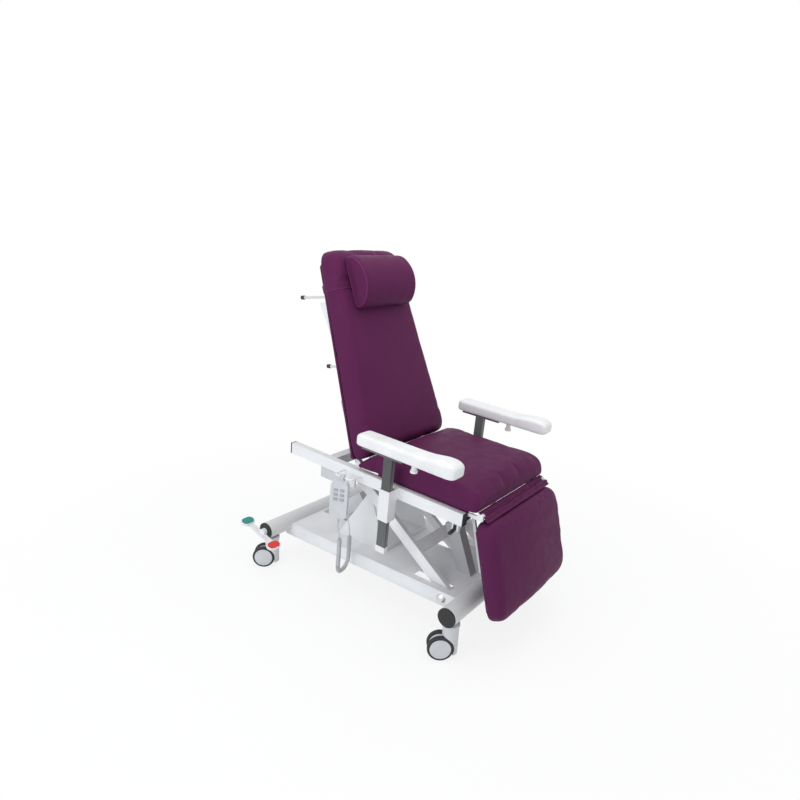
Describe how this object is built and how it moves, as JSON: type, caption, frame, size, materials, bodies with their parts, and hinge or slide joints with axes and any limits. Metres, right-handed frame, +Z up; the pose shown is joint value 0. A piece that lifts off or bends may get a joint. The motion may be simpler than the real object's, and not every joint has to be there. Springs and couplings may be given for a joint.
{
  "type": "patient rest chair",
  "caption": "Height-adjustable clinic rest chair: reclining padded back, lifting leg rest, sliding armrests, lift arms on a wheeled base, corded handset.",
  "frame": {"origin": "on the floor, under the middle of the chair's plan box", "axes": "+Z up, the sitter faces -Y, -X is the side with the handset and the brake pedal"},
  "size_m": [0.8068, 1.283, 1.4442],
  "materials": {
    "white_steel": "satin white powder coat",
    "grey_steel": "satin grey paint",
    "dark_steel": "satin dark grey paint",
    "bright_steel": "bright plated",
    "black_plastic": "moulded black",
    "grey_plastic": "moulded light grey",
    "key_plastic": "soft touch grey",
    "white_plastic": "moulded white",
    "green_plastic": "moulded green",
    "red_plastic": "moulded red",
    "wheel_rubber": "black tread on a light grey hub",
    "vinyl": "fine grained plum vinyl",
    "cord_jacket": "light grey cord jacket"
  },
  "bodies": {
    "base": {"chassis_tray": "white_steel", "front_cross_tube": "white_steel", "rear_cross_tube": "white_steel", "tube_end_caps": "black_plastic", "lower_axle": "bright_steel", "pedestal_cheeks": "white_steel", "front_stop_post": "grey_steel"},
    "lift_arms": {"lift_arms": "white_steel"},
    "level_link": {"level_link": "white_steel"},
    "lift_motor": {"lift_motor": "grey_plastic"},
    "lift_rod": {"lift_rod": "bright_steel"},
    "seat_frame": {"near_rail": "white_steel", "far_rail": "white_steel", "rail_end_caps": "black_plastic", "cross_members": "white_steel", "seat_board": "vinyl", "seat_cushion": "vinyl", "back_motor": "grey_plastic", "leg_motor": "grey_plastic", "handset_hook": "white_steel", "handset_shell": "grey_plastic", "control_box": "grey_plastic", "handset_cord": "cord_jacket"},
    "back_rest": {"back_board": "vinyl", "back_brackets": "grey_steel", "back_cushion": "vinyl", "head_pillow": "vinyl", "pillow_strap": "vinyl", "holder_pegs": "bright_steel", "peg_tips": "black_plastic", "holder_panel": "white_steel"},
    "back_rod": {"back_rod": "bright_steel"},
    "leg_rest": {"leg_board": "vinyl", "leg_brackets": "grey_steel", "leg_cushion": "vinyl"},
    "leg_rod": {"leg_rod": "bright_steel"},
    "brake": {"brake_pedal": "white_steel", "free_pad": "green_plastic", "lock_pad": "red_plastic"},
    "release_lever": {"release_lever": "black_plastic"},
    "near_armrest": {"near_armrest_pad": "white_plastic", "near_armrest_post": "dark_steel"},
    "near_knob": {"near_armrest_knob": "white_plastic"},
    "far_armrest": {"far_armrest_pad": "white_plastic", "far_armrest_post": "dark_steel"},
    "far_knob": {"far_armrest_knob": "white_plastic"},
    "front_near_caster": {"front_near_caster_housing": "grey_plastic"},
    "front_near_wheels": {"front_near_caster_wheels": "wheel_rubber"},
    "front_far_caster": {"front_far_caster_housing": "grey_plastic"},
    "front_far_wheels": {"front_far_caster_wheels": "wheel_rubber"},
    "rear_near_caster": {"rear_near_caster_housing": "grey_plastic"},
    "rear_near_wheels": {"rear_near_caster_wheels": "wheel_rubber"},
    "rear_far_caster": {"rear_far_caster_housing": "grey_plastic"},
    "rear_far_wheels": {"rear_far_caster_wheels": "wheel_rubber"},
    "key_top_left": {"key_top_left": "key_plastic"},
    "key_top_right": {"key_top_right": "key_plastic"},
    "key_middle_left": {"key_middle_left": "key_plastic"},
    "key_middle_right": {"key_middle_right": "key_plastic"},
    "key_bottom_left": {"key_bottom_left": "key_plastic"},
    "key_bottom_right": {"key_bottom_right": "key_plastic"}
  },
  "joints": [
    {"name": "lift", "type": "hinge", "parent": "base", "child": "lift_arms", "pos_m": [0.0149, -0.34868, 0.16], "axis": [1, 0, 0], "range_deg": [-4, 12]},
    {"name": "frame_level", "type": "hinge", "parent": "lift_arms", "child": "seat_frame", "pos_m": [0.0149, 0.13051, 0.52109], "axis": [1, 0, 0], "range_deg": [-12, 4]},
    {"name": "link_swing", "type": "hinge", "parent": "base", "child": "level_link", "pos_m": [0.0149, -0.23868, 0.16], "axis": [1, 0, 0], "range_deg": [-4, 12]},
    {"name": "lift_drive_swing", "type": "hinge", "parent": "base", "child": "lift_motor", "pos_m": [0.0149, 0.42132, 0.155], "axis": [1, 0, 0], "range_deg": [-2.09, 0.73]},
    {"name": "lift_drive_stroke", "type": "slide", "parent": "lift_motor", "child": "lift_rod", "axis": [0, -0.7961, 0.6051], "range_m": [-0.0327, 0.0971]},
    {"name": "back_recline", "type": "hinge", "parent": "seat_frame", "child": "back_rest", "pos_m": [0.0149, 0.089, 0.61186], "axis": [-1, 0, 0], "range_deg": [0, 62]},
    {"name": "back_drive_stroke", "type": "slide", "parent": "seat_frame", "child": "back_rod", "axis": [0, -0.9986, -0.0523], "range_m": [-0.0005, 0.09321]},
    {"name": "leg_raise", "type": "hinge", "parent": "seat_frame", "child": "leg_rest", "pos_m": [0.0149, -0.49525, 0.56321], "axis": [-1, 0, 0], "range_deg": [0, 72]},
    {"name": "leg_drive_stroke", "type": "slide", "parent": "seat_frame", "child": "leg_rod", "axis": [0, -0.9986, -0.0523], "range_m": [-0.0005, 0.09455]},
    {"name": "near_armrest_height", "type": "slide", "parent": "seat_frame", "child": "near_armrest", "axis": [0, -0.0523, 0.9986], "range_m": [-0.1, 0.08]},
    {"name": "near_knob_press", "type": "slide", "parent": "near_armrest", "child": "near_knob", "axis": [0, -0.0523, 0.9986], "range_m": [0, 0.005], "stiffness_N_per_m": 600, "springref_m": -0.003},
    {"name": "far_armrest_height", "type": "slide", "parent": "seat_frame", "child": "far_armrest", "axis": [0, -0.0523, 0.9986], "range_m": [-0.1, 0.08]},
    {"name": "far_knob_press", "type": "slide", "parent": "far_armrest", "child": "far_knob", "axis": [0, -0.0523, 0.9986], "range_m": [0, 0.005], "stiffness_N_per_m": 600, "springref_m": -0.003},
    {"name": "brake_rock", "type": "hinge", "parent": "base", "child": "brake", "pos_m": [0.0149, 0.53732, 0.187], "axis": [1, 0, 0], "range_deg": [-36, 0]},
    {"name": "lever_rock", "type": "hinge", "parent": "seat_frame", "child": "release_lever", "pos_m": [-0.2511, -0.40776, 0.4987], "axis": [0, 0.9986, 0.0523], "range_deg": [-8, 8]},
    {"name": "front_near_swivel", "type": "hinge", "parent": "base", "child": "front_near_caster", "pos_m": [-0.3071, -0.45568, 0.12], "axis": [0, 0, 1], "continuous": true},
    {"name": "front_near_roll", "type": "hinge", "parent": "front_near_caster", "child": "front_near_wheels", "pos_m": [-0.32926, -0.42731, 0.05], "axis": [0.788, 0.6157, 0], "continuous": true},
    {"name": "front_far_swivel", "type": "hinge", "parent": "base", "child": "front_far_caster", "pos_m": [0.3369, -0.45568, 0.12], "axis": [0, 0, 1], "continuous": true},
    {"name": "front_far_roll", "type": "hinge", "parent": "front_far_caster", "child": "front_far_wheels", "pos_m": [0.32226, -0.42279, 0.05], "axis": [0.9135, 0.4067, 0], "continuous": true},
    {"name": "rear_near_swivel", "type": "hinge", "parent": "base", "child": "rear_near_caster", "pos_m": [-0.3071, 0.53732, 0.12], "axis": [0, 0, 1], "continuous": true},
    {"name": "rear_near_roll", "type": "hinge", "parent": "rear_near_caster", "child": "rear_near_wheels", "pos_m": [-0.32926, 0.56569, 0.05], "axis": [0.788, 0.6157, 0], "continuous": true},
    {"name": "rear_far_swivel", "type": "hinge", "parent": "base", "child": "rear_far_caster", "pos_m": [0.3369, 0.53732, 0.12], "axis": [0, 0, 1], "continuous": true},
    {"name": "rear_far_roll", "type": "hinge", "parent": "rear_far_caster", "child": "rear_far_wheels", "pos_m": [0.32226, 0.57021, 0.05], "axis": [0.9135, 0.4067, 0], "continuous": true},
    {"name": "key_top_left_press", "type": "slide", "parent": "seat_frame", "child": "key_top_left", "axis": [0.9063, 0.422, 0.0221], "range_m": [0, 0.0015], "stiffness_N_per_m": 300, "springref_m": -0.002},
    {"name": "key_top_right_press", "type": "slide", "parent": "seat_frame", "child": "key_top_right", "axis": [0.9063, 0.422, 0.0221], "range_m": [0, 0.0015], "stiffness_N_per_m": 300, "springref_m": -0.002},
    {"name": "key_middle_left_press", "type": "slide", "parent": "seat_frame", "child": "key_middle_left", "axis": [0.9063, 0.422, 0.0221], "range_m": [0, 0.0015], "stiffness_N_per_m": 300, "springref_m": -0.002},
    {"name": "key_middle_right_press", "type": "slide", "parent": "seat_frame", "child": "key_middle_right", "axis": [0.9063, 0.422, 0.0221], "range_m": [0, 0.0015], "stiffness_N_per_m": 300, "springref_m": -0.002},
    {"name": "key_bottom_left_press", "type": "slide", "parent": "seat_frame", "child": "key_bottom_left", "axis": [0.9063, 0.422, 0.0221], "range_m": [0, 0.0015], "stiffness_N_per_m": 300, "springref_m": -0.002},
    {"name": "key_bottom_right_press", "type": "slide", "parent": "seat_frame", "child": "key_bottom_right", "axis": [0.9063, 0.422, 0.0221], "range_m": [0, 0.0015], "stiffness_N_per_m": 300, "springref_m": -0.002}
  ],
  "couplings": [
    {"joint": "frame_level", "follows": "lift", "ratio": -1},
    {"joint": "link_swing", "follows": "lift", "ratio": 1},
    {"joint": "lift_drive_swing", "follows": "lift", "ratio": -0.17},
    {"joint": "lift_drive_stroke", "follows": "lift", "m_per_rad": 0.46123},
    {"joint": "back_drive_stroke", "follows": "back_recline", "m_per_rad": 0.085673},
    {"joint": "leg_drive_stroke", "follows": "leg_raise", "m_per_rad": 0.074839}
  ]
}
